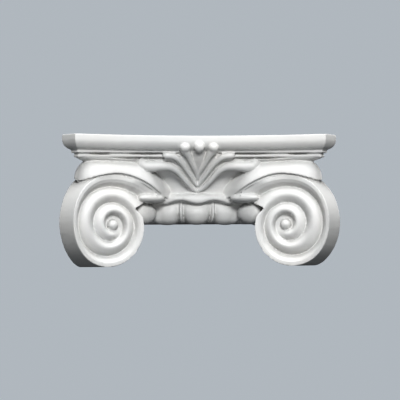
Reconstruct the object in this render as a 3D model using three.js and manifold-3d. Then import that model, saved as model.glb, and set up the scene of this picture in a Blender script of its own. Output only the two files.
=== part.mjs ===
// Half ionic capital with diagonal volutes, one plaster casting, cut off flat at the column's axis.
// Millimetres, +Z up, the front faces -Y. Heights are counted from the lowest point of the volutes,
// and the group is lowered at the end so that the origin lies on the flat back.
import * as THREE from "three";
import { mergeVertices } from "three/addons/utils/BufferGeometryUtils.js";
import Module from "manifold-3d";

const wasm = await Module();
wasm.setup();

// ---- driving dimensions -------------------------------------------------------------------------
const HEIGHT = 188; // volute bottoms to the abacus top
const ORIGIN_HEIGHT = 125; // the back mount, above the volute bottoms

const ABACUS_CORNER = 263.8; // axis to the chamfered corner, along the diagonal
const ABACUS_MIDDLE = 166; // axis to the middle of a hollow side
const ABACUS_RADIUS = 537; // of the hollow side, in plan
const ABACUS_STEPS = 9; // facets along a hollow side

const RIM_INNER = 180; // the volute's outermost edge, across the front
const RIM_OUTER = 200; // and towards the front
const FACE_RADIUS = 148; // the volute face is dished to this radius in plan
const FACE_ANGLE = THREE.MathUtils.degToRad(43); // of the face at its outer edge, off the front
const EYE_TO_RIM = 64.4; // measured round the dished face
const EYE_HEIGHT = 60.5;
const EYE_RADIUS = 8;
const SPIRAL_START = 10; // ridge radius where the spiral leaves the eye
const SPIRAL_PITCH = 21.8; // from one ridge to the next
const SPIRAL_SQUEEZE = 0.93; // width over height
const SPIRAL_SHIFT = 3.6; // the spiral's middle lies this far outward of the eye
const RIM_LIP = 6; // flat border outside the last ridge
const RELIEF = 5.5; // ridge to groove
const TURN_STEPS = 24; // facets in one turn
const TOP_TURN = 900; // winding angle at the top of the last turn, degrees
const TAIL = 60; // and how far the canal runs on past the top, degrees
const TAIL_OPENING = 6; // how far the canal opens outward over that stretch

const LOBES = 16; // around a whole capital
const ECHINUS_RADIUS = 125;
const SEAT_HEIGHT = 65; // underside that rests on the shaft
const BELL_RADIUS = 113;

const ROOT_REACH = 150; // middle of a volute's root, along the diagonal
const ROOT_HEIGHT = 67;
const ROOT_LENGTH = 70;
const ROOT_WIDTH = 64;
const ROOT_DEPTH = 25;

const BACK_REACH = 400; // the half space that the wall plane cuts away
const SEAM_TOLERANCE = 0.1; // slivers narrower than this along the joins are smoothed away

// ---- solids from meshes ---------------------------------------------------------------------------
function toSolid(geometry) {
  const bare = geometry.clone();
  bare.deleteAttribute("normal");
  bare.deleteAttribute("uv");
  const merged = mergeVertices(bare, 1e-4);
  return new wasm.Manifold(new wasm.Mesh({
    numProp: 3,
    vertProperties: Float32Array.from(merged.attributes.position.array),
    triVerts: Uint32Array.from(merged.index.array),
  }));
}

function toGeometry(solid) {
  const mesh = solid.getMesh();
  const geometry = new THREE.BufferGeometry();
  geometry.setAttribute("position", new THREE.BufferAttribute(mesh.vertProperties, 3));
  geometry.setIndex(new THREE.BufferAttribute(mesh.triVerts, 1));
  return geometry;
}

// A closed mesh from points and triangles, turned inside out if its volume comes out negative.
function closedSolid(points, triangles) {
  const a = new THREE.Vector3();
  let volume = 0;
  for (const [i, j, k] of triangles) {
    volume += a.crossVectors(points[i], points[j]).dot(points[k]);
  }
  const turned = volume < 0 ? triangles.map(([i, j, k]) => [i, k, j]) : triangles;
  const geometry = new THREE.BufferGeometry().setFromPoints(points);
  geometry.setIndex(turned.flat());
  return toSolid(geometry);
}

// Rings of equal length joined one to the next, each end closed by a fan about its middle.
function loft(rings) {
  const count = rings[0].length;
  const points = rings.flat();
  const triangles = [];
  for (let i = 0; i + 1 < rings.length; i++) {
    for (let j = 0; j < count; j++) {
      const next = (j + 1) % count;
      const [a, b] = [i * count + j, i * count + next];
      triangles.push([a, b, b + count], [a, b + count, a + count]);
    }
  }
  for (const [ring, start, flip] of [[rings[0], 0, true], [rings.at(-1), points.length - count, false]]) {
    const middle = ring.reduce((sum, p) => sum.add(p), new THREE.Vector3()).divideScalar(count);
    const hub = points.push(middle) - 1;
    for (let j = 0; j < count; j++) {
      const [a, b] = [start + j, start + ((j + 1) % count)];
      triangles.push(flip ? [hub, b, a] : [hub, a, b]);
    }
  }
  return closedSolid(points, triangles);
}

function mirrored(solid) {
  return solid.mirror([1, 0, 0]);
}

// ---- abacus ---------------------------------------------------------------------------------------
// One plan outline, set in by `inset` all round: four hollow arcs joined by the cut corners.
function abacusRing(inset, z) {
  const radius = ABACUS_RADIUS + inset;
  const centre = ABACUS_RADIUS + ABACUS_MIDDLE;
  const reach = Math.SQRT2 * (ABACUS_CORNER - inset) - centre;
  const half = Math.PI / 4 + Math.asin(reach / (Math.SQRT2 * radius));
  const ring = [];
  for (let side = 0; side < 4; side++) {
    for (let i = 0; i <= ABACUS_STEPS; i++) {
      const angle = half * (2 * i / ABACUS_STEPS - 1);
      const point = new THREE.Vector3(radius * Math.sin(angle), radius * Math.cos(angle) - centre, z);
      ring.push(point.applyAxisAngle(new THREE.Vector3(0, 0, 1), side * Math.PI / 2));
    }
  }
  return ring;
}

// Fascia, quarter round, two fillets with a groove between them, and the sloping soffit.
function abacus() {
  const fasciaFoot = 181;
  const ovoloFoot = 165.5;
  const ovoloDepth = 14;
  const profile = [[0, HEIGHT], [0, fasciaFoot]];
  for (const degrees of [25, 50, 72, 90]) {
    const angle = THREE.MathUtils.degToRad(degrees);
    const drop = (fasciaFoot - ovoloFoot) * Math.sin(angle);
    profile.push([ovoloDepth * (1 - Math.cos(angle)), fasciaFoot - drop]);
  }
  profile.push([15, 165], [15, 162], [18.5, 161.5], [18.5, 159.3], [19.5, 159], [19.5, 156]);
  profile.push([36, 151.5], [40, 146]);
  return loft(profile.map(([inset, z]) => abacusRing(inset, z)));
}

// ---- volutes --------------------------------------------------------------------------------------
// Plan position on the right front volute face: `across` runs outward from the eye, `proud` stands
// out from the face. The other face of the same volute is its mirror image in the diagonal.
const faceAtEye = FACE_ANGLE - EYE_TO_RIM / FACE_RADIUS;
const dishCentre = new THREE.Vector2(
  RIM_INNER - FACE_RADIUS * Math.sin(FACE_ANGLE),
  -RIM_OUTER - FACE_RADIUS * Math.cos(FACE_ANGLE),
);

function onFace(across, up, proud) {
  const angle = faceAtEye + across / FACE_RADIUS;
  const radius = FACE_RADIUS - proud;
  return new THREE.Vector3(
    dishCentre.x + radius * Math.sin(angle),
    dishCentre.y + radius * Math.cos(angle),
    EYE_HEIGHT + up,
  );
}

function acrossDiagonal(point) {
  return new THREE.Vector3(-point.y, -point.x, point.z);
}

// Ridge radius at a winding angle: 0 at the foot of the eye, +360 for each turn outward.
function ridge(turn) {
  if (turn < 0) return SPIRAL_START * (1 + turn / 360);
  const past = Math.max(0, (turn - TOP_TURN) / TAIL);
  return SPIRAL_START + SPIRAL_PITCH * turn / 360 + TAIL_OPENING * past * past;
}

function spiralPoint(turn, radius) {
  const angle = THREE.MathUtils.degToRad(turn);
  const shift = SPIRAL_SHIFT * Math.min(1, radius / (2 * SPIRAL_PITCH));
  return [shift + SPIRAL_SQUEEZE * radius * Math.sin(angle), -radius * Math.cos(angle)];
}

// One face as a spiral ribbon: every turn has a ridge, a groove and the next ridge inward.
function voluteFace() {
  const rows = [[0, 0], [0.2, -0.75], [0.42, -1], [0.72, -0.45]];
  const step = 360 / TURN_STEPS;
  const last = (TOP_TURN + TAIL) / step;
  const points = [onFace(0, 0, 0)];
  const triangles = [];
  const index = new Map();
  const vertex = (k, row) => {
    if (row === rows.length) return vertex(k - TURN_STEPS, 0);
    if (k <= -TURN_STEPS) return 0;
    const key = `${k}:${row}`;
    if (!index.has(key)) {
      const turn = k * step;
      const [share, depth] = rows[Math.max(0, row)];
      const radius = row < 0 ? ridge(turn) + RIM_LIP
        : ridge(turn) + share * (ridge(turn - 360) - ridge(turn));
      const proud = turn < 0 ? -RELIEF * 0.6 : depth * RELIEF;
      index.set(key, points.push(onFace(...spiralPoint(turn, radius), proud)) - 1);
    }
    return index.get(key);
  };
  const quad = (a, b, c, d) => {
    for (const face of [[a, b, c], [a, c, d]]) {
      if (new Set(face).size === 3) triangles.push(face);
    }
  };
  for (let k = -TURN_STEPS; k < last; k++) {
    if (k < -1) triangles.push([0, vertex(k, 0), vertex(k + 1, 0)]);
    for (let row = 0; row < rows.length; row++) {
      if (k === -1) triangles.push([vertex(k, 0), vertex(0, row), vertex(0, row + 1)]);
      if (k < 0) continue;
      quad(vertex(k, row), vertex(k + 1, row), vertex(k + 1, row + 1), vertex(k, row + 1));
    }
    if (k >= last - TURN_STEPS) {
      quad(vertex(k, -1), vertex(k + 1, -1), vertex(k + 1, 0), vertex(k, 0));
    }
  }
  const border = [];
  for (let k = last - TURN_STEPS; k <= last; k++) border.push(vertex(k, -1));
  for (let row = 0; row <= rows.length; row++) border.push(vertex(last, row));
  return { points, triangles: triangles.filter((face) => new Set(face).size === 3), border };
}

// The horn: the front face, its mirror image in the diagonal, and the band that runs between them.
function horn() {
  const { points, triangles, border } = voluteFace();
  const count = points.length;
  const all = [...points, ...points.map(acrossDiagonal)];
  const faces = [...triangles, ...triangles.map(([a, b, c]) => [a + count, c + count, b + count])];
  for (let i = 0; i < border.length; i++) {
    const [a, b] = [border[i], border[(i + 1) % border.length]];
    faces.push([b, a, a + count], [b, a + count, b + count]);
  }
  const eye = new THREE.IcosahedronGeometry(EYE_RADIUS, 1);
  const front = onFace(0, 0, -RELIEF * 0.6);
  const side = acrossDiagonal(front);
  return closedSolid(all, faces)
    .add(toSolid(eye.clone().translate(...front)))
    .add(toSolid(eye.clone().translate(...side)));
}

// ---- over-band ------------------------------------------------------------------------------------
// The thick roll between a volute and the abacus. Each station has a point on its lower edge and one
// where its rounded top ends: distance from the axis along the diagonal, distance to the front of
// the diagonal, height. The far half is the mirror image of the near one.
function overBand() {
  const stations = [
    [[112, 58, 98], [90, 50, 103]], [[128, 58, 103], [97, 55, 110]],
    [[144, 62, 109.5], [104, 48, 124]], [[160, 61.5, 118], [118, 40, 139]],
    [[173, 55.5, 125.5], [140, 33, 152]], [[186, 47.5, 131.5], [165, 28, 153]],
    [[200, 39, 134], [186, 21, 153]], [[212, 32, 133.5], [200, 14, 153]],
    [[222, 25.5, 131.5], [209, 9, 150.4]], [[231, 18.5, 128], [214, 5, 148]],
    [[237, 12, 124.5], [217, 3, 145]], [[240.5, 5, 122.5], [219, 1, 142]],
  ];
  const shoulder = [0, 25, 50, 70, 90].map(THREE.MathUtils.degToRad);
  const rings = stations.map(([edge, crown]) => {
    const near = shoulder.map((angle) => {
      const [inward, upward] = [1 - Math.cos(angle), Math.sin(angle)];
      const along = edge[0] + (crown[0] - edge[0]) * inward;
      const aside = edge[1] + (crown[1] - edge[1]) * inward;
      const z = edge[2] + (crown[2] - edge[2]) * upward;
      return new THREE.Vector3((along - aside) / Math.SQRT2, -(along + aside) / Math.SQRT2, z);
    });
    return [...near, ...near.map(acrossDiagonal).reverse()];
  });
  return loft(rings);
}

// ---- echinus and bell -----------------------------------------------------------------------------
// A turned moulding with a lip over rounded lobes, and a narrow rib between each two lobes.
function echinus() {
  const lip = 128;
  const rows = [
    [110, 0, 106.5], [121, 0.5, 106.5], [lip, 1, 101], [lip + 1, 1, 95], [lip - 1, 1, 92.5],
    [ECHINUS_RADIUS - 3, 2, 92], [ECHINUS_RADIUS, 3, 82], [ECHINUS_RADIUS - 2, 3.5, 73],
    [ECHINUS_RADIUS - 8, 3, 66], [ECHINUS_RADIUS - 16, 2, 62], [ECHINUS_RADIUS - 22, 0, 62],
    [ECHINUS_RADIUS - 24, 0, SEAT_HEIGHT],
  ];
  const steps = [-0.5, -0.4, -0.3, -0.16, 0, 0.16, 0.3, 0.4];
  const scallop = [0, 0, -0.6, -0.8, -1, -0.8, -0.6, 0];
  const lobe = [0.4, 0.4, -0.9, 0.6, 1, 0.6, -0.9, 0.4];
  return loft(rows.map(([radius, swell, z], row) => {
    const ring = [];
    for (let k = 0; k < LOBES; k++) {
      steps.forEach((share, i) => {
        const angle = (k + share) * 2 * Math.PI / LOBES;
        const r = radius + swell * lobe[i];
        const drop = row >= 3 && row <= 5 ? 3 * scallop[i] : 0;
        ring.push(new THREE.Vector3(r * Math.sin(angle), -r * Math.cos(angle), z + drop));
      });
    }
    return ring;
  }));
}

function bell() {
  const profile = [
    [0, SEAT_HEIGHT], [95, SEAT_HEIGHT], [105, 90], [BELL_RADIUS + 4, 104], [BELL_RADIUS, 116],
    [BELL_RADIUS + 2, 135], [BELL_RADIUS + 10, 152], [0, 152],
  ];
  const points = profile.map(([radius, z]) => new THREE.Vector2(radius, z));
  return toSolid(new THREE.LatheGeometry(points, 64).rotateX(Math.PI / 2));
}

// The root joins a volute to the bell, low down behind the lobes.
function root() {
  const ball = new THREE.SphereGeometry(1, 18, 10);
  ball.scale(ROOT_LENGTH / 2, ROOT_WIDTH / 2, ROOT_DEPTH / 2);
  ball.rotateZ(-Math.PI / 4);
  ball.translate(ROOT_REACH / Math.SQRT2, -ROOT_REACH / Math.SQRT2, ROOT_HEIGHT);
  return toSolid(ball);
}

// ---- palmette -------------------------------------------------------------------------------------
// A leaf is swept along its spine: x, z, then half width and how far its middle stands forward.
function leaf(spine, thickness) {
  const sides = 8;
  const rings = spine.map(([x, z, half, forward], i) => {
    const before = spine[Math.max(0, i - 1)];
    const after = spine[Math.min(spine.length - 1, i + 1)];
    const along = new THREE.Vector2(after[0] - before[0], after[1] - before[1]).normalize();
    const ring = [];
    for (let j = 0; j < sides; j++) {
      const angle = 2 * Math.PI * (j + 0.5) / sides;
      const wide = half * Math.cos(angle);
      const deep = Math.min(thickness, half) * Math.sin(angle);
      ring.push(new THREE.Vector3(x - along.y * wide, -forward - deep, z + along.x * wide));
    }
    return ring;
  });
  return loft(rings);
}

function palmette() {
  const middle = leaf([
    [0, 112, 1.5, 122], [0, 128, 3, 132], [0, 142, 5.5, 143], [0, 154, 8, 152], [0, 164, 8.5, 159],
    [0, 169, 7.5, 162.5], [0, 175, 7.5, 165], [0, 180, 4.5, 166],
  ], 7);
  const inner = leaf([
    [0, 122, 2, 125], [5, 138, 3.2, 139], [9.5, 150, 4, 149], [14, 160, 5, 157],
    [18.5, 167, 6.5, 161.5], [20.5, 172.5, 6.5, 163], [21, 176, 3.5, 163.5],
  ], 6);
  const outer = leaf([
    [0, 116, 2.5, 123], [8, 127, 3.2, 133], [15, 137, 4, 142], [22, 147, 4.5, 149],
    [31, 155, 5, 154], [42, 159, 4.6, 157], [51, 159.5, 2.5, 157],
  ], 6);
  const lowest = leaf([
    [0, 109, 2.5, 121], [7.5, 116.5, 3.2, 128], [16, 126, 4.2, 136], [25, 135.5, 5.5, 144],
    [36, 142, 6.8, 150], [50, 144.5, 7.4, 154.5], [67, 145, 7.4, 158], [77, 147.5, 7, 160],
    [82, 151, 4, 160],
  ], 7);
  const half = inner.add(outer).add(lowest);
  return middle.add(half).add(mirrored(half));
}

// ---- the whole casting ----------------------------------------------------------------------------
function wallSide() {
  const box = new THREE.BoxGeometry(2 * BACK_REACH, BACK_REACH, 2 * BACK_REACH);
  return toSolid(box.translate(0, BACK_REACH / 2, 0));
}

function capitalSolid() {
  const corner = horn().add(overBand()).add(root());
  const leaves = palmette();
  return abacus()
    .add(bell())
    .add(echinus())
    .add(corner)
    .add(mirrored(corner))
    .add(leaves)
    .add(leaves.rotate([0, 0, 90]))
    .add(leaves.rotate([0, 0, -90]))
    .subtract(wallSide())
    .asOriginal()
    .simplify(SEAM_TOLERANCE);
}

const plaster = new THREE.MeshStandardMaterial({ color: 0xf2f1ee, roughness: 0.75, metalness: 0 });
const capital = new THREE.Mesh(toGeometry(capitalSolid()), plaster);
capital.name = "capital";

const group = new THREE.Group();
group.add(capital);
group.position.z = -ORIGIN_HEIGHT;

export default group;
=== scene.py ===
# %% [markdown]
# # A cast plaster capital, cell by cell
# This script models the looks of one plaster casting: a half ionic capital whose volutes stand out
# along the diagonals. The real object comes out of a rubber mould in one piece, so the model is
# built the same way: first every carved form on its own, then all of them melted into one skin.
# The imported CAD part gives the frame, the size and the place of everything.

# %% Load the frame
import math

import bpy
import bmesh
import numpy as np
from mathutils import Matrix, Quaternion, Vector, noise


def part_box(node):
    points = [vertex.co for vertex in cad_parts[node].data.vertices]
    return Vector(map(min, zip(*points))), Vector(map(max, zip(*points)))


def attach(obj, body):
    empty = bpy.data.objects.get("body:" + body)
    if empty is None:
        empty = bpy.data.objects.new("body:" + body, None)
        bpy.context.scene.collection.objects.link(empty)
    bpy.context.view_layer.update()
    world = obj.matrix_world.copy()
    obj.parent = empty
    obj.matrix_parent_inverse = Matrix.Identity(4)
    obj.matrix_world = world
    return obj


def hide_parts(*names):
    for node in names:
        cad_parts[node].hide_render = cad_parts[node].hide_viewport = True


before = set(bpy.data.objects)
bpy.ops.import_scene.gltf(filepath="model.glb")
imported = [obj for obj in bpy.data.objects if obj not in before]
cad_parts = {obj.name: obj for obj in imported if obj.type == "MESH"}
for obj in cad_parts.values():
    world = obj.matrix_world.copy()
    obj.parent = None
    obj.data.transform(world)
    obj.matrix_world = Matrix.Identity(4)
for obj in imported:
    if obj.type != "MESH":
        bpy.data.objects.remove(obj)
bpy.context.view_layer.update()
low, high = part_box("capital")
print("CAD box", [round(v, 4) for v in low], [round(v, 4) for v in high])

# %% [markdown]
# ## Units and the driving dimensions
# Carvers and moulders set a capital out in millimetres from the lowest point of the volutes, so
# the shapes below do the same. One function takes them to metres in the CAD frame and sets the
# abacus top at the CAD part's highest point. Only a few sizes drive everything else.

# %% Driving dimensions
MM = 0.001
HEIGHT = 188.0            # volute bottoms to the abacus top
SEAT = 65.0               # the underside that sits on the shaft
ABACUS_CORNER = 263.8     # axis to the cut corner, along the diagonal
ABACUS_MIDDLE = 163.0     # axis to the middle of a hollow side
ABACUS_RADIUS = 491.0     # of the hollow side in plan
RIM_INNER = 180.0         # the volute's outermost edge: across the front
RIM_OUTER = 200.0         # and towards the front
FACE_RADIUS = 148.0       # the volute face is dished to this radius in plan
FACE_ANGLE = math.radians(43)
EYE_TO_RIM = 67.4         # measured round the dished face
EYE_HEIGHT = 60.5
LOBES = 16                # around a whole capital
ROOT2 = math.sqrt(2)


def to_frame(points):
    """Millimetres above the volute bottoms to metres in the CAD frame."""
    moved = np.asarray(points, dtype=float) * MM
    moved[:, 2] += high[2] - HEIGHT * MM
    return moved


# %% [markdown]
# ## Closed shells from rings
# Most carved forms are rings of points joined one to the next: a moulding run round a plan, a leaf
# swept along its spine, a turned ring with lobes. Extruded curves could do some of them, but a ring
# is easier to shape point by point. Each shell is closed at both ends, because the melting step
# later needs to know what is inside.

# %% Ring helpers
class Shells:
    """Collects closed shells, in millimetres, for one mesh."""

    def __init__(self):
        self.points = []
        self.faces = []
        self.count = 0

    def add(self, points, faces):
        points = np.asarray(points, dtype=float)
        self.points.append(points)
        self.faces += [tuple(i + self.count for i in face) for face in faces]
        self.count += len(points)

    def loft(self, rings):
        rings = np.asarray(rings, dtype=float)
        rows, size, _ = rings.shape
        points = rings.reshape(-1, 3)
        faces = []
        for row in range(rows - 1):
            for i in range(size):
                j = (i + 1) % size
                a, b = row * size + i, row * size + j
                faces.append((a, b, b + size, a + size))
        ends = np.vstack([rings[0].mean(axis=0), rings[-1].mean(axis=0)])
        first, last = len(points), len(points) + 1
        start = (rows - 1) * size
        for i in range(size):
            j = (i + 1) % size
            faces.append((first, j, i))
            faces.append((last, start + i, start + j))
        self.add(np.vstack([points, ends]), faces)

    def mirrored(self):
        """The same shells on the other side of the middle plane."""
        twin = Shells()
        twin.add(np.vstack(self.points) * (-1, 1, 1), [face[::-1] for face in self.faces])
        return twin

    def turned(self, degrees):
        c, s = math.cos(math.radians(degrees)), math.sin(math.radians(degrees))
        twin = Shells()
        turn = np.array([[c, -s, 0], [s, c, 0], [0, 0, 1]])
        twin.add(np.vstack(self.points) @ turn.T, self.faces)
        return twin

    def join(self, other):
        self.add(np.vstack(other.points), other.faces)


def flowing(points, steps):
    """A smooth run through the given points (Catmull-Rom), `steps` to each stretch."""
    p = np.asarray(points, dtype=float)
    p = np.vstack([2 * p[0] - p[1], p, 2 * p[-1] - p[-2]])
    run = []
    for i in range(1, len(p) - 2):
        for t in np.arange(steps) / steps:
            a = 2 * p[i]
            b = p[i + 1] - p[i - 1]
            c = 2 * p[i - 1] - 5 * p[i] + 4 * p[i + 1] - p[i + 2]
            d = 3 * (p[i] - p[i + 1]) + p[i + 2] - p[i - 1]
            run.append(0.5 * (a + b * t + c * t * t + d * t ** 3))
    return np.vstack([run, p[-2]])


def ease(low_edge, high_edge, value):
    """0 below the low edge, 1 above the high one, smooth between."""
    t = np.clip((value - low_edge) / (high_edge - low_edge), 0.0, 1.0)
    return t * t * (3 - 2 * t)


capital = Shells()

# %% [markdown]
# ## The abacus
# The abacus is the slab on top. Its four sides are hollow in plan and its corners are cut off at
# 45 degrees. A plasterer would run its profile with a template; here the same profile is a list of
# steps (how far in, how high), and each step is one ring of the hollow plan, set in by that much.

# %% Abacus
def abacus_ring(inset, z, lift=0.0, steps=40):
    """One step of the profile; `lift` raises its middle, as a hand-run moulding often is."""
    radius = ABACUS_RADIUS + inset
    centre = ABACUS_RADIUS + ABACUS_MIDDLE
    reach = ROOT2 * (ABACUS_CORNER - inset) - centre
    half = math.pi / 4 + math.asin(reach / (ROOT2 * radius))
    angle = half * np.linspace(-1, 1, steps)
    x, y = radius * np.sin(angle), radius * np.cos(angle) - centre
    heights = z + lift * (1 - (angle / half) ** 2)
    ring = []
    for _ in range(4):
        ring += list(zip(x, y, heights))
        x, y = -y, x
    return ring


FASCIA_FOOT, OVOLO_FOOT, OVOLO_DEPTH = 181.5, 166.5, 14.0
FILLET_LIFT, FILLETS_BEHIND = 2.2, 11.0
profile = [(40, 0), (0.8, 0), (0, 0.8), (0, HEIGHT - FASCIA_FOOT)]
for degrees in range(8, 91, 8):
    a = math.radians(degrees)
    profile.append((OVOLO_DEPTH * (1 - math.cos(a)),
                    HEIGHT - FASCIA_FOOT + (FASCIA_FOOT - OVOLO_FOOT) * math.sin(a)))
fillets = [(11.2, 166.3), (11.2, 162.4), (19.5, 162), (19.5, 160), (14.5, 159.8),
           (14.5, 156.4), (24, 155.6), (120, 154.5)]
profile += [(inset, HEIGHT - z) for inset, z in fillets]
capital.loft([abacus_ring(inset, HEIGHT - drop, FILLET_LIFT if inset > FILLETS_BEHIND else 0)
              for inset, drop in profile])
print("abacus profile steps:", len(profile))

# %% [markdown]
# ## The volutes
# Each corner volute is a horn seen from two sides: one spiral face looks to the front, its mirror
# image in the diagonal looks to the side, and a plain band runs round between them. The faces are
# dished, so a face position is an arc in plan. The spiral opens by the same amount each turn. The
# mesh follows it as a ribbon from ridge to ridge, which keeps every ridge and groove on its own
# line of points, where a square grid would cut across them in steps.

# %% Volute face
SPIRAL_START, SPIRAL_PITCH = 10.0, 21.8
SPIRAL_SQUEEZE, SPIRAL_SHIFT = 0.93, 6.6
RIM_LIP, RELIEF = 6.0, 10.5
EYE_HOOK, HOOK_TURN = 5.0, 120          # the innermost ridge curls in towards the eye
TOP_TURN, TAIL, TAIL_OPENING = 900, 60, 12.0
TAIL_TUCK, TUCK_TURN = 14.0, 32         # the tail's end falls back towards the bell
LIP_START, LIP_GROWTH = TOP_TURN + TAIL - 360, 22
BEAD_SHARE = 0.8                        # the rest of a ridge's section is a soft wave
BORDER_START, BORDER_FULL = 560, 700    # turns over which the outer border becomes crisp
RISE_START, RISE_FULL = -80, 20         # and over which the first ridge rises
face_at_eye = FACE_ANGLE - EYE_TO_RIM / FACE_RADIUS
dish_x = RIM_INNER - FACE_RADIUS * math.sin(FACE_ANGLE)
dish_y = -RIM_OUTER - FACE_RADIUS * math.cos(FACE_ANGLE)


def on_face(across, up, proud):
    angle = face_at_eye + across / FACE_RADIUS
    radius = FACE_RADIUS - proud
    return (dish_x + radius * math.sin(angle), dish_y + radius * math.cos(angle), EYE_HEIGHT + up)


def across_diagonal(points):
    """The other side of the right-hand diagonal."""
    p = np.asarray(points, dtype=float)
    return np.stack([-p[:, 1], -p[:, 0], p[:, 2]], axis=1)


def ridge(turn):
    """Ridge radius at a winding angle in degrees: 0 below the eye, 360 for each turn out."""
    hook = EYE_HOOK * max(0.0, 1 - abs(turn) / HOOK_TURN) ** 2
    if turn < 0:
        return (SPIRAL_START + EYE_HOOK) * (1 + turn / 360)
    past = max(0.0, (turn - TOP_TURN) / TAIL)
    return SPIRAL_START + SPIRAL_PITCH * turn / 360 + hook + TAIL_OPENING * past ** 2


def relief(turn, share):
    """Height of the face against the ridges, `share` of the way from one ridge in to the next."""
    bead = math.sqrt(max(0.0, 1 - (2 * min(share, 1 - share)) ** 2))
    soft = BEAD_SHARE * bead + (1 - BEAD_SHARE) * math.cos(math.pi * share) ** 2
    crisp = 1 - 0.15 * ease(0.0, 0.08, share) - 0.85 * ease(0.1, 0.5, share)
    crisp = max(crisp, soft) if share > 0.5 else crisp
    border = ease(BORDER_START, BORDER_FULL, turn)
    crest = (1 - border) * soft + border * crisp
    crest *= ease(RISE_START, RISE_FULL, turn if share < 0.5 else turn - 360)
    return RELIEF * (crest - 1)


def volute_face(steps=150, rows=22):
    points, faces, index = [on_face(0, 0, -RELIEF)], [], {}
    last = (TOP_TURN + TAIL) * steps // 360

    def vertex(k, row):
        if row == rows:
            return vertex(k - steps, 0) if k >= 0 else 0
        if k <= -steps:
            return 0
        if (k, row) not in index:
            turn = k * 360 / steps
            inner = ridge(turn - 360) if k >= 0 else 0.0
            share = max(row, 0) / rows
            radius = ridge(turn) + share * (inner - ridge(turn))
            if row < 0:
                radius += RIM_LIP * ease(LIP_START - 2, LIP_START + LIP_GROWTH, turn)
            angle = math.radians(turn)
            shift = SPIRAL_SHIFT * min(1, radius / (2 * SPIRAL_PITCH))
            across = shift + SPIRAL_SQUEEZE * radius * math.sin(angle)
            index[k, row] = len(points)
            end = TOP_TURN + TAIL
            tucked = TAIL_TUCK * ease(end - TUCK_TURN, end, turn) * (1 - share)
            points.append(on_face(across, -radius * math.cos(angle), relief(turn, share) - tucked))
        return index[k, row]

    for k in range(-steps, last):
        first = -1 if k >= last - steps else 0
        for row in range(first, rows):
            quad = [vertex(k, row), vertex(k + 1, row), vertex(k + 1, row + 1), vertex(k, row + 1)]
            corners = tuple(dict.fromkeys(quad))
            if len(corners) > 2:
                faces.append(corners)
    border = [vertex(k, -1) for k in range(last - steps, last + 1)]
    border += [vertex(last, row) for row in range(rows + 1)]
    return points, faces, border


def ball(shells, centre, radii, turn=0.0, steps=32):
    """A ball stretched along three axes and turned about the vertical, as a lofted shell."""
    c, s = math.cos(turn), math.sin(turn)
    rings = []
    for lat in np.linspace(-0.98, 0.98, steps // 2) * math.pi / 2:
        lon = np.linspace(0, 2 * math.pi, steps, endpoint=False)
        x, y = radii[0] * np.cos(lat) * np.cos(lon), radii[1] * np.cos(lat) * np.sin(lon)
        z = np.full(steps, radii[2] * math.sin(lat))
        rings.append(np.stack([x * c - y * s, x * s + y * c, z], axis=1) + centre)
    shells.loft(rings)


# %% [markdown]
# The horn closes the two faces with the plain band. The eye is a ball sunk in the middle. Two thick
# roots tie the horn to the bell, a short piece of lip brings each face's tail back to the echinus,
# and one last lobe fills the corner under it. Stretched balls do for all of these, as the melting
# step blends them; a horn that hung free would snap when the mould is pulled off.

# %% Horn
EYE_RADIUS, EYE_PROUD = 8.0, 2.0
ALONG_DIAGONAL = -math.pi / 4
ROOTS = [(146, 90, (44, 36, 32)), (138, 107, (40, 51, 21))]     # distance out, height, radii
LIP_PIECE = ((68, -139, 99.5), (23, 11, 7.5), -0.6)             # centre, radii, turn
LAST_LOBE = ((77, -128, 78), (22, 12, 16), ALONG_DIAGONAL)
corner = Shells()
points, faces, border = volute_face()
size = len(points)
band = []
for i, a in enumerate(border):
    b = border[(i + 1) % len(border)]
    band.append((b, a, a + size, b + size))
other_face = [tuple(i + size for i in face[::-1]) for face in faces]
corner.add(np.vstack([points, across_diagonal(points)]), faces + other_face + band)
eye = np.array([on_face(0, 0, EYE_PROUD - RELIEF)])
for centre in (eye[0], across_diagonal(eye)[0]):
    ball(corner, centre, (EYE_RADIUS, EYE_RADIUS, EYE_RADIUS))
for out, height, radii in ROOTS:
    ball(corner, (out / ROOT2, -out / ROOT2, height), radii, turn=ALONG_DIAGONAL)
for centre, radii, turn in (LIP_PIECE, LAST_LOBE):
    ball(corner, centre, radii, turn=turn)
    ball(corner, across_diagonal([centre])[0], radii, turn=2 * ALONG_DIAGONAL - turn)
print("volute face points:", size)

# %% [markdown]
# ## The over-band
# Between volute and abacus a thick roll springs from the echinus, rises over the volute and ends in
# a snub nose under the corner. A tube along a path would be round all over, but this roll has a
# sharp lower edge and a rounded shoulder. So each station gives two points, on the lower edge and
# where the shoulder dies away, and a quarter of an ellipse joins them. Each point is given by how
# far out it lies along the diagonal, how far beside the diagonal, and how high.

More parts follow.
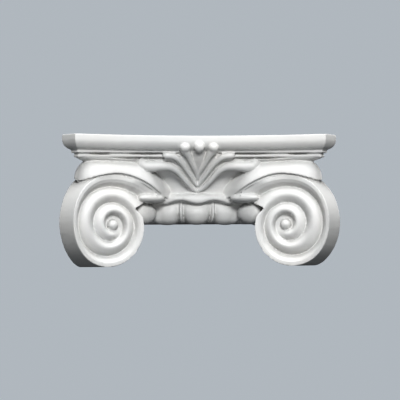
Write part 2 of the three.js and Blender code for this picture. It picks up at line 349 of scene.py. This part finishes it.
# %% Over-band
stations = flowing([
    (112, 58, 98, 90, 50, 103), (128, 58, 103, 97, 55, 110), (144, 62, 109.5, 104, 48, 124),
    (160, 61.5, 118, 118, 40, 141), (173, 55.5, 125.5, 140, 33, 153),
    (186, 45.5, 131.5, 165, 28, 154), (200, 37, 134, 187, 16, 154), (212, 31.5, 133, 198, 11, 154),
    (222, 26.5, 131, 206, 8, 154), (231, 21, 128.5, 212, 6, 154), (238, 14.5, 126, 216, 4, 154),
    (242.5, 7.5, 124, 218.5, 2, 154), (244, 0.5, 123, 219.5, 0.2, 154),
], 6)
BEDDING, BEDDING_DROP = 3.0, 1.5    # the roll again, tucked in and lower, beds it on the volute
SEAM = 0.2                          # the two sides stay this far from the diagonal
for tuck in (0.0, BEDDING):
    rings = []
    for edge_s, edge_t, edge_z, top_s, top_t, top_z in stations:
        near = []
        for a in np.radians(np.linspace(0, 90, 14)):
            inward, upward = 1 - math.cos(a), math.sin(a)
            along = edge_s + (top_s - edge_s) * inward - tuck
            aside = max(edge_t + (top_t - edge_t) * inward - tuck, SEAM)
            near.append(((along - aside) / ROOT2, -(along + aside) / ROOT2,
                         edge_z + (top_z - edge_z) * upward - BEDDING_DROP * tuck))
        rings.append(np.vstack([near, across_diagonal(near)[::-1]]))
    corner.loft(rings)
capital.join(corner)
capital.join(corner.mirrored())
print("over-band stations:", len(stations))

# %% [markdown]
# ## The echinus
# Under the abacus sits a turned ring: a lip with a scalloped lower edge over egg-like lobes, and a
# narrow rib between each two lobes. Modelling one lobe and arraying it would leave seams, so the
# whole ring is one formula in the angle. Lobe and rib are half ellipses across, and the profile
# rows say how strongly each shows at that height.

# %% Echinus
def lobed(share, lobe_half, rib_half):
    """Lobe and rib heights across one bay; share runs from -0.5 to 0.5."""
    lobe = np.sqrt(np.clip(1 - (share / lobe_half) ** 2, 0, 1))
    rib = np.sqrt(np.clip(1 - ((0.5 - np.abs(share)) / rib_half) ** 2, 0, 1))
    return lobe, rib


BAY_STEPS = 44
CORE_RADIUS = 101.0                 # the lobes stand out from this
VOLUTE_SWELL, SWELL_ANGLE = 44.0, 21.0
LIP_DROOP, LOBE_FOOT, RIB_FOOT = 4.6, 4.2, 1.6
LOBE_SPREAD, RIB_HALF = 0.025, 0.065
angle = np.arange(LOBES * BAY_STEPS) * 2 * math.pi / (LOBES * BAY_STEPS)
share = (np.arange(LOBES * BAY_STEPS) / BAY_STEPS + 0.5) % 1 - 0.5
droop = np.cos(math.pi * share) ** 2
to_diagonal = np.abs(np.degrees(angle) % 90 - 45)
fullness = VOLUTE_SWELL * (1 - ease(0, SWELL_ANGLE, to_diagonal))     # where it meets the volutes
# radius, height, lobe swell, rib swell, share of the lip's droop, lobe half width, foot drop
lip_rows = [
    (100, 107.4, 0, 0, 0, 0.4, 0), (118, 107.4, 0.3, 0, 0, 0.4, 0),
    (124.5, 106.2, 0.8, 0, 0, 0.4, 0), (128, 103, 1.4, 0, 0.1, 0.4, 0),
    (129.3, 99.5, 1.6, 0, 0.5, 0.4, 0), (128, 97, 1.4, 0, 1, 0.4, 0),
    (124, 96.4, 0.5, 0, 1, 0.4, 0),
]
lobe_rows = [
    (117.5, 95, 2.5, 2, 0.8, 0.42, 0), (116, 90, 7, 6, 0.3, 0.42, 0),
    (115.5, 82, 10, 8.5, 0, 0.41, 0), (113.5, 75, 11.5, 9.5, 0, 0.39, 0),
    (110, 69, 11.5, 9, 0, 0.36, 0.5), (106, 66, 8, 6, 0, 0.33, 1),
    (102, 65, 2, 1, 0, 0.33, 0.6), (98, 65, 0, 0, 0, 0.33, 0),
]
rows = flowing(lip_rows + lobe_rows, 4)
rings = []
for radius, z, swell, ribbing, follow, lobe_half, foot in rows:
    lobe, rib = lobed(share, lobe_half + LOBE_SPREAD, RIB_HALF)
    r = radius + swell * lobe + ribbing * rib + (fullness if radius > CORE_RADIUS else 0)
    drop = follow * LIP_DROOP * droop + foot * (LOBE_FOOT * lobe + RIB_FOOT * rib)
    rings.append(np.stack([r * np.sin(angle), -r * np.cos(angle), z - drop], axis=1))
capital.loft(rings)
print("echinus rows:", len(rows), "points round:", len(angle))

# %% [markdown]
# ## The bell
# The bell is the plain core behind everything. It fills the ring of the echinus down to the flat
# seat, then flares from a circle over the lip to the hollow-sided plan of the abacus, so the
# leaves stand in low relief on it. Blending two rings gives that flare without any sculpting.

# %% Bell
ROUND_STEPS = 160
FLARE_FOOT, FLARE_TOP = 106.5, 155.0
FLARE_RADIUS, FLARE_INSET, FLARE_POWER = 123.0, 16, 1.6
round_angle = np.linspace(0, 2 * math.pi, ROUND_STEPS, endpoint=False)


def circle(radius, z):
    return np.stack([radius * np.sin(round_angle), -radius * np.cos(round_angle),
                     np.full(ROUND_STEPS, z)], axis=1)


def hollow_square(inset, z):
    """The abacus plan, sampled at the same angles round the axis as the circle."""
    plan = np.array(abacus_ring(inset, z))
    around = np.arctan2(plan[:, 0], -plan[:, 1]) % (2 * math.pi)
    order = np.argsort(around)
    reach = np.hypot(plan[:, 0], plan[:, 1])[order]
    radius = np.interp(round_angle, around[order], reach, period=2 * math.pi)
    return circle(radius, z)


core = ((1, SEAT), (60, SEAT), (CORE_RADIUS, SEAT), (104, 80), (110, 95), (122, 105))
bell = [circle(radius, z) for radius, z in core]
for rise in np.linspace(0, 1, 12):
    z = FLARE_FOOT + (FLARE_TOP - FLARE_FOOT) * rise
    blend = rise ** FLARE_POWER
    bell.append((1 - blend) * circle(FLARE_RADIUS, z) + blend * hollow_square(FLARE_INSET, z))
bell.append(circle(60, 168))        # well inside the abacus, so that no gap is left between them
capital.loft(bell)
print("bell rings:", len(bell))

# %% [markdown]
# ## The palmette
# A palmette of seven leaves fills the middle of each side. Every leaf is swept along a spine that
# leans forward as it rises, with a half width at each station, and some tips curl into small bulbs.
# Lower webs, swept the same way, fill the gaps and make the middle leaf. The spines are the few
# points a carver would mark; a smooth run through them does the rest.

# %% Palmette
def leaf(shells, spine, depth, sides=24):
    """Sweep a leaf: round in front, `depth` thick behind. Spine rows: x, z, half width, front."""
    run = flowing(spine, 6)
    along = np.gradient(run[:, :2], axis=0)
    along /= np.linalg.norm(along, axis=1)[:, None]
    a = 2 * math.pi * np.arange(sides) / sides
    rings = []
    for (x, z, half, front), (dx, dz) in zip(run, along):
        half = max(half, 0.4)
        wide = half * np.cos(a)
        back = half - np.where(np.sin(a) > 0, 0.9 * half, depth) * np.sin(a)
        rings.append(np.stack([x - dz * wide, back - front, z + dx * wide], axis=1))
    shells.loft(rings)


LEAVES = [
    [(0.4, 127, 1.6, 131), (2, 134.8, 2.8, 137), (5.5, 142, 3.2, 144), (11, 152, 3.5, 152),
     (15.5, 160.7, 5, 159), (19.2, 167.2, 7, 164), (20.6, 172, 6, 165)],
    [(0.4, 117, 1.8, 128), (7.6, 127.6, 2.9, 135), (14.8, 137.7, 3.4, 142), (22, 147.7, 3.9, 149),
     (30.7, 155.7, 4.4, 155), (39.3, 159.3, 4.8, 158), (47.5, 160, 4.6, 159), (52, 160.2, 2.2, 157)],
    [(0.4, 109.5, 2, 126), (9, 115.3, 3.1, 131), (16.3, 122.5, 3.4, 137), (23.5, 131, 3.8, 142),
     (30.7, 138.4, 4.6, 147), (40.8, 144, 5.7, 151.5), (53.7, 145.2, 7, 154), (68, 144.2, 7.4, 156),
     (78, 145.4, 7.4, 157), (83, 150.5, 4.6, 155)],
]
WEBS = [
    [(0, 112, 4, 124), (0, 128, 5, 130), (0, 142, 7, 141), (0, 154, 10, 151), (0, 168, 11, 160)],
    [(1, 121, 3, 126), (6.5, 131.4, 4, 133), (11.9, 141.6, 5.5, 140), (17, 151, 7.5, 147),
     (23, 160, 9, 153)],
    [(4, 115, 3, 124), (12.7, 126.9, 4, 131), (19.2, 135.5, 5, 136), (26.4, 143.4, 5.5, 142),
     (36.4, 149.9, 6, 146), (52, 151.5, 5.5, 148), (68, 151.5, 5, 148)],
]
LEAF_DEPTH, WEB_DEPTH = 16, 14
BULBS = [((20.6, -158.5, 171), (7.8, 8, 7.4)), ((81.5, -148, 148.3), (8.0, 8.0, 8.2))]
MIDDLE_BULB = ((0, -159.5, 172), (8, 8.5, 8.5))
half_fan = Shells()
for spine in LEAVES:
    leaf(half_fan, spine, LEAF_DEPTH)
for spine in WEBS[1:]:
    leaf(half_fan, spine, WEB_DEPTH)
for centre, radii in BULBS:
    ball(half_fan, centre, radii)
fan = Shells()
leaf(fan, WEBS[0], WEB_DEPTH)
ball(fan, *MIDDLE_BULB)
fan.join(half_fan)
fan.join(half_fan.mirrored())
for quarter in (0, 90, -90):
    capital.join(fan.turned(quarter))
print("leaves on each side of the casting:", 2 * len(LEAVES) + 1)

# %% [markdown]
# ## Melting the forms into one skin
# In the mould all these forms are one surface with soft joins. A boolean union would keep knife
# edges where they meet; a voxel remesh lays one even skin over everything and rounds each join by
# about a voxel, as plaster does. The skin is then cut flat at the wall and thinned where it is flat.

# %% One skin
VOXEL = 1.05 * MM
SPARE = 4 * VOXEL         # kept behind the wall plane until the true cut
MOST_FACES = 190_000


def apply_modifiers(obj):
    depsgraph = bpy.context.evaluated_depsgraph_get()
    mesh = bpy.data.meshes.new_from_object(obj.evaluated_get(depsgraph))
    obj.modifiers.clear()
    old, obj.data = obj.data, mesh
    bpy.data.meshes.remove(old)


mesh = bpy.data.meshes.new("capital_cast")
mesh.from_pydata(to_frame(np.vstack(capital.points)).tolist(), [], capital.faces)
cast = bpy.data.objects.new("capital_cast", mesh)
bpy.context.scene.collection.objects.link(cast)
bm = bmesh.new()
bm.from_mesh(mesh)
bmesh.ops.recalc_face_normals(bm, faces=bm.faces)
everything = bm.verts[:] + bm.edges[:] + bm.faces[:]
bmesh.ops.bisect_plane(bm, geom=everything, plane_co=(0, SPARE, 0), plane_no=(0, 1, 0),
                       clear_outer=True)
bmesh.ops.holes_fill(bm, edges=[e for e in bm.edges if e.is_boundary], sides=0)
bm.to_mesh(mesh)
bm.free()
remesh = cast.modifiers.new("skin", "REMESH")
remesh.mode = "VOXEL"
remesh.voxel_size = VOXEL
apply_modifiers(cast)
print("skin faces:", len(cast.data.polygons))

# %% [markdown]
# The cut at the wall is a bisect, which leaves the flat back exactly in the wall plane. Thinning
# leaves large triangles on the flats, and they would take on the tilt of the rounded edges next to
# them. So true corners are marked sharp and each point's normal is weighted by the face areas.

# %% Cut and thin
def cut_flat(obj, where, normal):
    bm = bmesh.new()
    bm.from_mesh(obj.data)
    everything = bm.verts[:] + bm.edges[:] + bm.faces[:]
    bmesh.ops.bisect_plane(bm, geom=everything, plane_co=where, plane_no=normal, clear_outer=True)
    edges = [e for e in bm.edges if e.is_boundary]
    made = bmesh.ops.holes_fill(bm, edges=edges, sides=0)["faces"]
    bmesh.ops.triangulate(bm, faces=made)
    bm.to_mesh(obj.data)
    bm.free()


UNEVEN_REACH, UNEVEN_HEIGHT = 0.024, 0.22 * MM
FLAT_ZONE, CAD_MARGIN = 0.5 * MM, 0.1 * MM
SHARP_ANGLE = math.radians(50)


def weathered(obj, reach, height):
    """Push the skin in and out a little, as a casting never comes out dead true."""
    mesh = obj.data
    points = np.empty(len(mesh.vertices) * 3)
    normals = np.empty(len(mesh.vertices) * 3)
    mesh.vertices.foreach_get("co", points)
    mesh.vertices.foreach_get("normal", normals)
    points, normals = points.reshape(-1, 3), normals.reshape(-1, 3)
    swell = np.array([noise.noise(Vector(p) / reach) + 0.5 * noise.noise(Vector(p) * 2.7 / reach)
                      for p in points])
    flat = (points[:, 1] > -FLAT_ZONE) | (points[:, 2] > high[2] - FLAT_ZONE)
    points += normals * (swell * height * ~flat)[:, None]
    points = np.clip(points, np.array(low) + CAD_MARGIN, np.array(high))
    mesh.vertices.foreach_set("co", points.ravel())
    mesh.update()


cut_flat(cast, (0, 0, 0), (0, 1, 0))
triangles = sum(len(p.vertices) - 2 for p in cast.data.polygons)
thin = cast.modifiers.new("thin", "DECIMATE")
thin.ratio = min(1.0, MOST_FACES / triangles)
apply_modifiers(cast)
weathered(cast, UNEVEN_REACH, UNEVEN_HEIGHT)
cast.data.shade_smooth()
cast.data.set_sharp_from_angle(angle=SHARP_ANGLE)
weigh = cast.modifiers.new("flats", "WEIGHTED_NORMAL")
weigh.mode = "FACE_AREA_WITH_ANGLE"
weigh.keep_sharp = True
apply_modifiers(cast)
print("triangles before", triangles, "after", len(cast.data.polygons))
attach(cast, "root")
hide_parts("capital")

# %% [markdown]
# ## Plaster, and the effects it is made of
# White gypsum plaster is matt and never quite even. Three effects make its look: a grain with pinholes
# where air was trapped in the mould, painted shade that darkens the hollows, and arrises that
# handling has polished. The struck faces add a fourth, the drag of the board. Each is a node group,
# so that both plaster finishes can use it with their own values.

# %% Group helpers
def node_group(name, inputs, outputs):
    """A shader group with float inputs {name: default} and float outputs [name]."""
    group = bpy.data.node_groups.new(name, "ShaderNodeTree")
    for label, default in inputs.items():
        socket = group.interface.new_socket(label, in_out="INPUT", socket_type="NodeSocketFloat")
        socket.default_value = default
    for label in outputs:
        group.interface.new_socket(label, in_out="OUTPUT", socket_type="NodeSocketFloat")
    return group, group.nodes.new("NodeGroupInput"), group.nodes.new("NodeGroupOutput")


def math_node(tree, operation, a, b):
    node = tree.nodes.new("ShaderNodeMath")
    node.operation = operation
    for socket, value in zip(node.inputs, (a, b)):
        if isinstance(value, (int, float)):
            socket.default_value = value
        else:
            tree.links.new(value, socket)
    return node.outputs[0]


def ramp(tree, value, start, end):
    """Map a value from start..end to 0..1, smoothly and clamped."""
    node = tree.nodes.new("ShaderNodeMapRange")
    node.interpolation_type = "SMOOTHSTEP"
    for label, given in (("Value", value), ("From Min", start), ("From Max", end)):
        if isinstance(given, (int, float)):
            node.inputs[label].default_value = given
        else:
            tree.links.new(given, node.inputs[label])
    return node.outputs["Result"]


def object_place(tree, scale=None):
    place = tree.nodes.new("ShaderNodeTexCoord").outputs["Object"]
    if scale is None:
        return place
    mapping = tree.nodes.new("ShaderNodeMapping")
    mapping.inputs["Scale"].default_value = scale
    tree.links.new(place, mapping.inputs["Vector"])
    return mapping.outputs["Vector"]


def pattern(tree, kind, place, scale, detail=2.0):
    node = tree.nodes.new("ShaderNodeTex" + kind)
    tree.links.new(place, node.inputs["Vector"])
    if "Detail" in node.inputs:
        node.inputs["Detail"].default_value = detail
    if isinstance(scale, (int, float)):
        node.inputs["Scale"].default_value = scale
    else:
        tree.links.new(scale, node.inputs["Scale"])
    return node.outputs["Distance" if kind == "Voronoi" else 0]


# %% [markdown]
# ### Grain and pinholes
# The grain is fine noise. The pinholes are the cell centres of a Voronoi pattern, kept only where a
# broader noise says so, because trapped air comes in patches. The finish tints them dark, which is
# painted shade inside each hole.

# %% Grain group
group, given, out = node_group("plaster_grain", {"Grain scale": 900.0, "Pore scale": 160.0,
                                                 "Pore size": 0.16, "Pore cover": 0.55},
                               ["Height", "Pores", "Cloud"])
place = object_place(group)
grain = pattern(group, "Noise", place, given.outputs["Grain scale"], 3.0)
cells = pattern(group, "Voronoi", place, given.outputs["Pore scale"])
patches = pattern(group, "Noise", place, 34.0, 2.0)
hole = math_node(group, "SUBTRACT", 1.0, ramp(group, cells, 0.0, given.outputs["Pore size"]))
there = math_node(group, "GREATER_THAN", patches, given.outputs["Pore cover"])
pores = math_node(group, "MULTIPLY", hole, there)
height = math_node(group, "SUBTRACT", math_node(group, "MULTIPLY", grain, 0.35), pores)
group.links.new(height, out.inputs["Height"])
group.links.new(pores, out.inputs["Pores"])
group.links.new(pattern(group, "Noise", place, 11.0, 4.0), out.inputs["Cloud"])
plaster_grain = group

# %% [markdown]
# ### Painted shade in the hollows
# Ambient occlusion measures how shut in a place is. There the colour is darkened as painted shade,
# broken up by noise.

# %% Painted shade group
group, given, out = node_group("painted_hollow_shade", {"Reach": 0.022, "Amount": 0.5}, ["Dust"])
shut_in = group.nodes.new("ShaderNodeAmbientOcclusion")
shut_in.samples = 12
group.links.new(given.outputs["Reach"], shut_in.inputs["Distance"])
hollow = math_node(group, "SUBTRACT", 1.0, shut_in.outputs["AO"])
broken = ramp(group, pattern(group, "Noise", object_place(group), 60.0, 4.0), 0.2, 0.75)
uneven = math_node(group, "ADD", 0.75, math_node(group, "MULTIPLY", broken, 0.25))
amount = math_node(group, "MULTIPLY", given.outputs["Amount"], uneven)
group.links.new(math_node(group, "MULTIPLY", hollow, amount), out.inputs["Dust"])
painted_hollow_shade = group

# %% [markdown]
# ### Rubbed arrises
# Pointiness is high on outer edges. Noise keeps the rubbing from running along every edge alike.

# %% Wear group
group, given, out = node_group("rubbed_arris", {"Start": 0.52, "End": 0.6}, ["Rubbed"])
point = group.nodes.new("ShaderNodeNewGeometry").outputs["Pointiness"]
edge = ramp(group, point, given.outputs["Start"], given.outputs["End"])
broken = ramp(group, pattern(group, "Noise", object_place(group), 45.0, 3.0), 0.35, 0.65)
group.links.new(math_node(group, "MULTIPLY", edge, broken), out.inputs["Rubbed"])
rubbed_arris = group

# %% [markdown]
# ### Struck face
# The open side of the mould is struck off with a straight board, which leaves fine drag lines in
# one direction. Noise stretched along the stroke gives them.

# %% Struck group
group, given, out = node_group("board_drag", {"Line scale": 90.0}, ["Drag"])
stretched = object_place(group, (0.06, 1.0, 1.0))
lines = pattern(group, "Noise", stretched, given.outputs["Line scale"], 5.0)
group.links.new(ramp(group, lines, 0.3, 0.7), out.inputs["Drag"])
board_drag = group

# %% [markdown]
# ## The two finishes
# Both use a plain Principled BSDF. The moulded front is bright and close grained. The struck back
# is greyer, rougher and full of pinholes. Colour goes light to dark through mixes: the darkening in
# the hollows and in the pinholes is painted shade. Roughness and bump follow the same masks, so that
# a pore is dark, rough and sunk all at once.

# %% Finish helper
def place_group(material, group, values):
    node = material.node_tree.nodes.new("ShaderNodeGroup")
    node.node_tree = group
    for label, value in values.items():
        node.inputs[label].default_value = value
    return node


def tint(tree, mask, under, over):
    """Mix from one colour (or socket) to another by a mask."""
    mix = tree.nodes.new("ShaderNodeMix")
    mix.data_type = "RGBA"
    tree.links.new(mask, mix.inputs["Factor"])
    for label, colour in (("A", under), ("B", over)):
        socket = next(i for i in mix.inputs if i.name == label and i.type == "RGBA")
        if isinstance(colour, tuple):
            socket.default_value = (*colour, 1)
        else:
            tree.links.new(colour, socket)
    return next(o for o in mix.outputs if o.type == "RGBA")


BUMP_DEPTH = 0.4 * MM


def plaster_finish(name, look):
    material = bpy.data.materials.new(name)
    material.use_nodes = True
    tree = material.node_tree
    shader = tree.nodes["Principled BSDF"]
    shader.inputs["Specular IOR Level"].default_value = look["sheen"]
    grain = place_group(material, plaster_grain, look["grain"])
    hollow_shade = place_group(material, painted_hollow_shade, look["hollow_shade"])
    rubbed = place_group(material, rubbed_arris, look["rubbed"])
    drag = place_group(material, board_drag, {"Line scale": look["drag_scale"]})
    colour = tint(tree, ramp(tree, grain.outputs["Cloud"], 0.3, 0.7), look["cool"], look["warm"])
    if look["drag_tone"]:
        dragged = math_node(tree, "MULTIPLY", drag.outputs["Drag"], look["drag_tone"])
        colour = tint(tree, dragged, colour, look["shade"])
    colour = tint(tree, rubbed.outputs["Rubbed"], colour, look["bright"])
    # painted shade: the colour darkens towards the shade colour in the hollows, by occlusion
    colour = tint(tree, hollow_shade.outputs["Dust"], colour, look["shade"])
    # painted shade: each pinhole is tinted dark
    colour = tint(tree, grain.outputs["Pores"], colour, look["shade"])
    tree.links.new(colour, shader.inputs["Base Color"])
    rough = look["rough"]
    for step, mask, share in (("ADD", hollow_shade.outputs["Dust"], 0.3), ("ADD", grain.outputs["Cloud"], 0.1),
                              ("SUBTRACT", rubbed.outputs["Rubbed"], 0.18)):
        rough = math_node(tree, step, rough, math_node(tree, "MULTIPLY", mask, share))
    tree.links.new(rough, shader.inputs["Roughness"])
    height = math_node(tree, "ADD", grain.outputs["Height"],
                       math_node(tree, "MULTIPLY", drag.outputs["Drag"], look["drag_depth"]))
    bump = tree.nodes.new("ShaderNodeBump")
    bump.inputs["Strength"].default_value = look["bump"]
    bump.inputs["Distance"].default_value = BUMP_DEPTH
    tree.links.new(height, bump.inputs["Height"])
    tree.links.new(bump.outputs["Normal"], shader.inputs["Normal"])
    return material


# shade: the dark colour of the painted shade in hollows and pinholes, and of the drag streaks
moulded = plaster_finish("moulded_plaster", {
    "sheen": 0.5, "rough": 0.45, "bump": 0.35, "drag_tone": 0, "drag_depth": 0, "drag_scale": 90,
    "grain": {"Grain scale": 900, "Pore scale": 170, "Pore size": 0.13, "Pore cover": 0.58},
    "hollow_shade": {"Reach": 0.014, "Amount": 0.42}, "rubbed": {"Start": 0.53, "End": 0.62},
    "cool": (0.80, 0.805, 0.80), "warm": (0.84, 0.835, 0.82), "bright": (0.88, 0.88, 0.87),
    "shade": (0.42, 0.41, 0.39),
})
struck = plaster_finish("struck_plaster", {
    "sheen": 0.2, "rough": 0.72, "bump": 0.7, "drag_tone": 0.25, "drag_depth": 0.9, "drag_scale": 90,
    "grain": {"Grain scale": 600, "Pore scale": 110, "Pore size": 0.24, "Pore cover": 0.42},
    "hollow_shade": {"Reach": 0.01, "Amount": 0.5}, "rubbed": {"Start": 0.53, "End": 0.62},
    "cool": (0.70, 0.69, 0.67), "warm": (0.76, 0.74, 0.70), "bright": (0.82, 0.81, 0.79),
    "shade": (0.46, 0.44, 0.41),
})
cast.data.materials.clear()
cast.data.materials.append(moulded)
cast.data.materials.append(struck)
print("materials:", [m.name for m in cast.data.materials])

# %% [markdown]
# The struck finish goes on the flat faces only: the back against the wall, the bed on top and the
# seat over the shaft. They are known by where they lie and which way they face.

# %% Struck faces
seat_height = high[2] + (SEAT - HEIGHT) * MM
seat_reach = 100 * MM
SQUARE_ON = 0.9           # least part of the normal along the axis it should face
struck_faces = 0
for face in cast.data.polygons:
    at, facing = face.center, face.normal
    back_face = at.y > -0.4 * MM and facing.y > SQUARE_ON
    bed_face = at.z > high[2] - 0.8 * MM and facing.z > SQUARE_ON
    near_seat = abs(at.z - seat_height) < 1.5 * MM and math.hypot(at.x, at.y) < seat_reach
    if back_face or bed_face or (near_seat and facing.z < -SQUARE_ON):
        face.material_index = 1
        struck_faces += 1
print("struck faces:", struck_faces)

# %% [markdown]
# ## The studio
# A pale sweep of paper behind and below, one soft light above the camera with a weak fill under it,
# one overhead and one behind each side. White plaster picks up every bounce, so the paper sends
# back less light than it seems to: the eye sees an even pale tone, which keeps the undersides dark
# and the relief readable. The air round the studio does the same.

# %% Studio
PALE = (0.323, 0.343, 0.363, 1)
BOUNCE = (0.20, 0.21, 0.22, 1)
AIR, AIR_STRENGTH = (0.9, 0.95, 1.0, 1), 0.03
SWEEP_BACK, SWEEP_FLOOR, SWEEP_BEND = 2.6, -1.2, 0.6
SWEEP_FRONT, SWEEP_TOP, SWEEP_SIDE = -4.0, 3.5, 4.0


def seen_apart(tree, lighting, seen):
    """One shader for what the eye sees, the other for the light it gives."""
    either = tree.nodes.new("ShaderNodeMixShader")
    tree.links.new(tree.nodes.new("ShaderNodeLightPath").outputs["Is Camera Ray"], either.inputs[0])
    tree.links.new(lighting.outputs[0], either.inputs[1])
    tree.links.new(seen.outputs[0], either.inputs[2])
    return either.outputs[0]


rows = [(SWEEP_FRONT, SWEEP_FLOOR)]
for a in np.radians(np.linspace(0, 90, 24)):
    rows.append((SWEEP_BACK - SWEEP_BEND + SWEEP_BEND * math.sin(a),
                 SWEEP_FLOOR + SWEEP_BEND - SWEEP_BEND * math.cos(a)))
rows.append((SWEEP_BACK, SWEEP_TOP))
sweep_points = [(side * SWEEP_SIDE, y, z) for y, z in rows for side in (-1, 1)]
sweep_faces = [(2 * i, 2 * i + 1, 2 * i + 3, 2 * i + 2) for i in range(len(rows) - 1)]
sweep_mesh = bpy.data.meshes.new("paper_sweep")
sweep_mesh.from_pydata(sweep_points, [], sweep_faces)
for face in sweep_mesh.polygons:
    face.use_smooth = True
sweep = bpy.data.objects.new("paper_sweep", sweep_mesh)
bpy.context.scene.collection.objects.link(sweep)
paper = bpy.data.materials.new("pale_paper")
paper.use_nodes = True
tree = paper.node_tree
paper_shader = tree.nodes["Principled BSDF"]
paper_shader.inputs["Base Color"].default_value = BOUNCE
paper_shader.inputs["Roughness"].default_value = 1.0
paper_shader.inputs["Specular IOR Level"].default_value = 0.0
glow = tree.nodes.new("ShaderNodeEmission")
glow.inputs["Color"].default_value = PALE
paper_surface = seen_apart(tree, paper_shader, glow)
tree.links.new(paper_surface, tree.nodes["Material Output"].inputs["Surface"])
sweep_mesh.materials.append(paper)

# %% [markdown]
# The lights are all broad, because small ones would draw hard shadows under every leaf. The key
# stands high enough to shade the undersides, and the side lights stand behind, so that they show
# the sides without flattening the front.

# %% Lights and air
MIDDLE = (0, -0.12, 0)


def soft_light(name, place, aim, size, power):
    data = bpy.data.lights.new(name, "AREA")
    data.shape = "RECTANGLE"
    data.size, data.size_y = size
    data.energy = power
    lamp = bpy.data.objects.new(name, data)
    lamp.location = place
    lamp.rotation_euler = (Vector(aim) - Vector(place)).to_track_quat("-Z", "Y").to_euler()
    bpy.context.scene.collection.objects.link(lamp)


soft_light("key", (0.06, -1.95, 0.95), MIDDLE, (0.9, 0.5), 18)
soft_light("top", (0.05, -0.6, 1.4), MIDDLE, (1.0, 0.6), 8)
soft_light("low_fill", (-0.05, -2.3, -0.25), MIDDLE, (0.8, 0.5), 5)
for side in (-1, 1):
    soft_light("side_wash", (side * 2.1, 1.7, 0.5), (0, 0, 0), (1.0, 0.8), 11)
world = bpy.data.worlds.new("studio_air")
bpy.context.scene.world = world
world.use_nodes = True
tree = world.node_tree
air = tree.nodes["Background"]
air.inputs["Color"].default_value = AIR
air.inputs["Strength"].default_value = AIR_STRENGTH
far_paper = tree.nodes.new("ShaderNodeBackground")
far_paper.inputs["Color"].default_value = PALE
tree.links.new(seen_apart(tree, air, far_paper), tree.nodes["World Output"].inputs["Surface"])
bpy.context.scene.view_settings.view_transform = "Standard"
bpy.context.scene.view_settings.look = "Very High Contrast"
print("lights:", len(bpy.data.lights))

# %% [markdown]
# ## The camera
# It looks from a little to the left and slightly below, so the undersides show. A long lens from
# two metres keeps the two volutes nearly the same size.

# %% Camera
AZIMUTH, ELEVATION, ROLL = (math.radians(a) for a in (-5.5, -2.5, -0.4))
DISTANCE, LENS, FAR = 1.962, 122.7, 50
aim = Vector((0.0015, -0.15, high[2] - 0.488 * HEIGHT * MM))
back = Vector((math.sin(AZIMUTH) * math.cos(ELEVATION),
               -math.cos(AZIMUTH) * math.cos(ELEVATION), math.sin(ELEVATION)))
camera_data = bpy.data.cameras.new("camera")
camera_data.lens = LENS
camera_data.clip_end = FAR
camera = bpy.data.objects.new("camera", camera_data)
camera.location = aim + back * DISTANCE
turned = (-back).to_track_quat("-Z", "Y") @ Quaternion((0, 0, 1), ROLL)
camera.rotation_euler = turned.to_euler()
bpy.context.scene.collection.objects.link(camera)
bpy.context.scene.camera = camera
